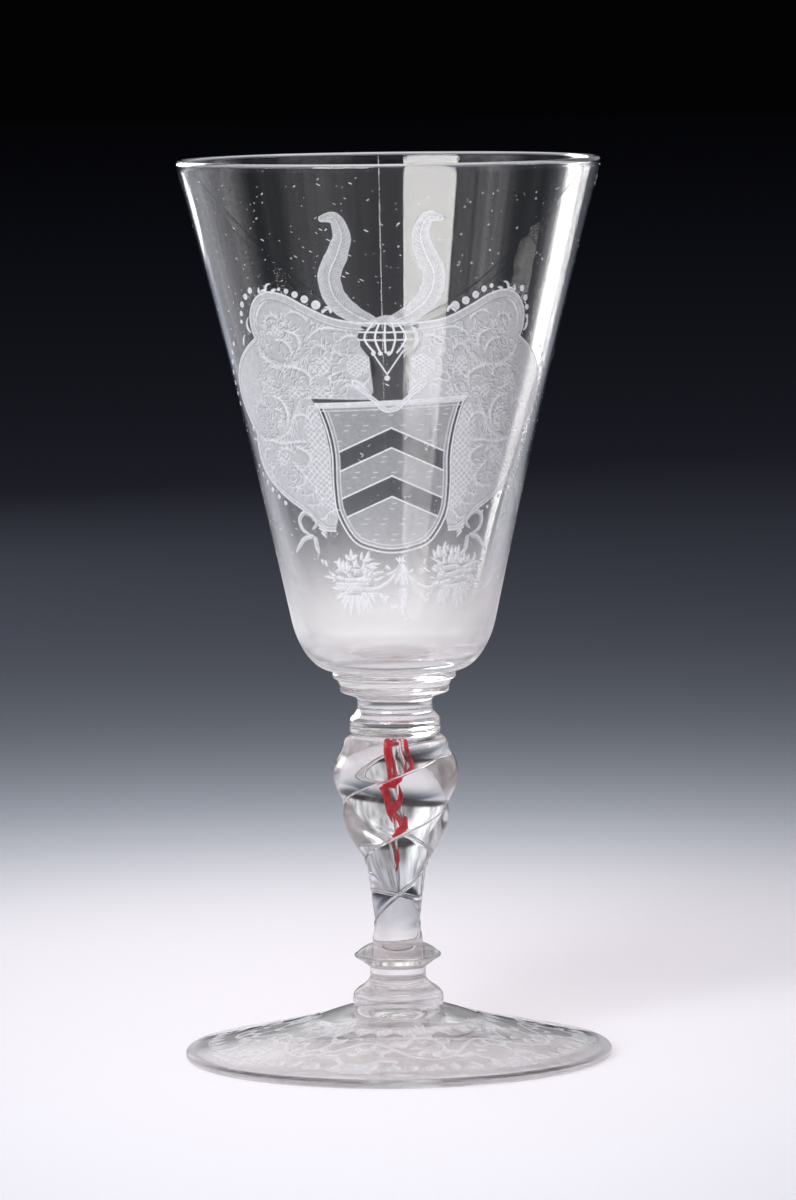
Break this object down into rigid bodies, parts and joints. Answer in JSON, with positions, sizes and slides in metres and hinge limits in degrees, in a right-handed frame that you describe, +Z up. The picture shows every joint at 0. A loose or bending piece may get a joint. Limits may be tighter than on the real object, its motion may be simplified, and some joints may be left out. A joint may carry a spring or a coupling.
{
  "type": "goblet",
  "caption": "Tall goblet of clear glass: funnel bowl with a cut ornamental front, collars, wrythen baluster stem with a ruby thread, conical foot.",
  "frame": {"origin": "centre of the plane that the foot rests on", "axes": "+Z up along the stem, towards the rim; -Y is the front, with the cut ornament"},
  "size_m": [0.0952, 0.0952, 0.2],
  "materials": {
    "clear_glass": "fire-polished, with a very faint grey tint",
    "ruby_glass": "ruby thread cased in clear glass"
  },
  "bodies": {
    "root": {"foot": "clear_glass", "base_knop": "clear_glass", "lower_merese": "clear_glass", "baluster": "clear_glass", "ruby_thread": "ruby_glass", "ring_knop": "clear_glass", "lower_collar": "clear_glass", "upper_collar": "clear_glass", "bowl": "clear_glass"}
  },
  "joints": []
}
